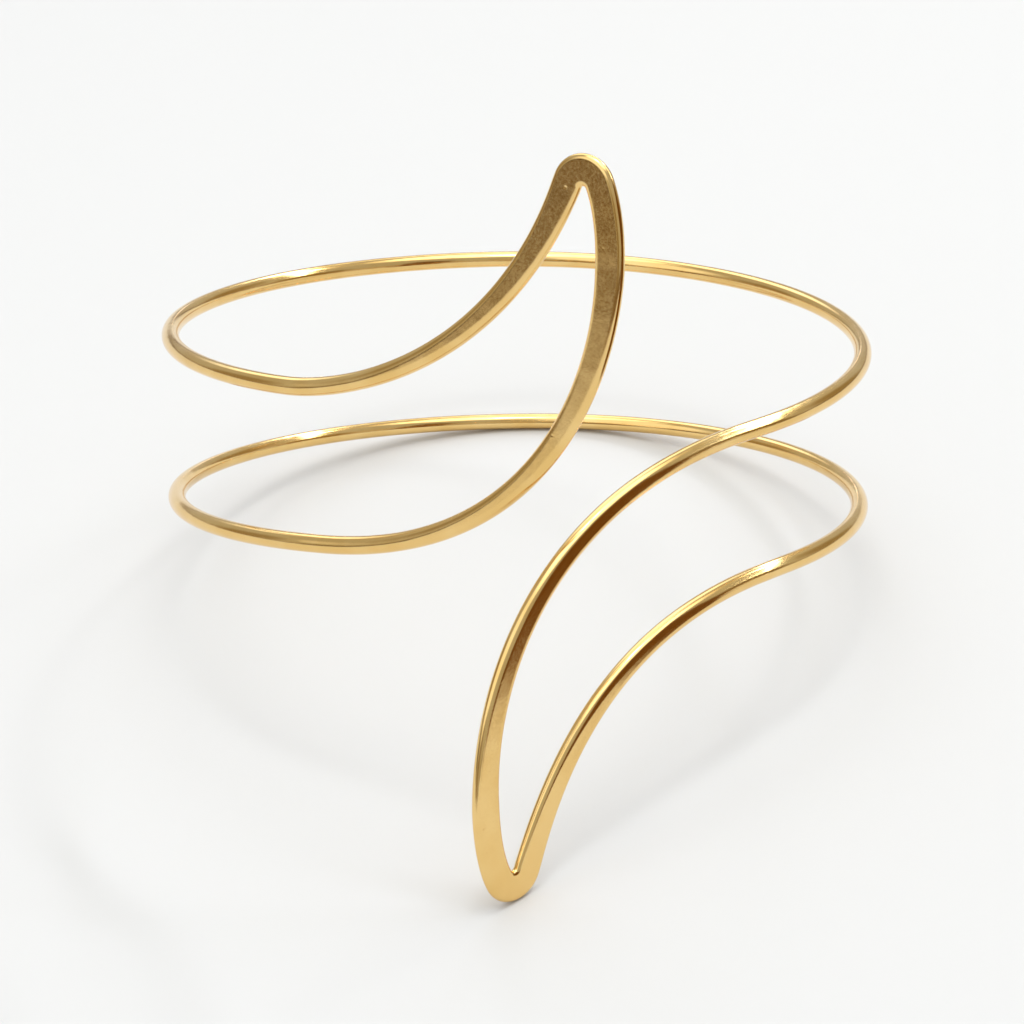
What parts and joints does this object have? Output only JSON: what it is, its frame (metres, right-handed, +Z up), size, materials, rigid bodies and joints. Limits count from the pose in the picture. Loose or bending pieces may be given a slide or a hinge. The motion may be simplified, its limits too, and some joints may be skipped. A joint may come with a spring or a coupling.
{
  "type": "upper arm cuff",
  "caption": "Open wire upper arm cuff: two parallel strands round the arm, ending in front in one leaf-shaped loop up and one down, pressed flat at their tips.",
  "frame": {"origin": "on the surface that the cuff rests on, below the middle of its box", "axes": "+Z up, +Y from the leaves in front to the round back, +X to the right as seen from the front"},
  "size_m": [0.091, 0.1164, 0.082],
  "materials": {
    "gold_wire": "polished gold plate on brass wire, with satin pressed flats"
  },
  "bodies": {
    "root": {"cuff_wire": "gold_wire"}
  },
  "joints": []
}
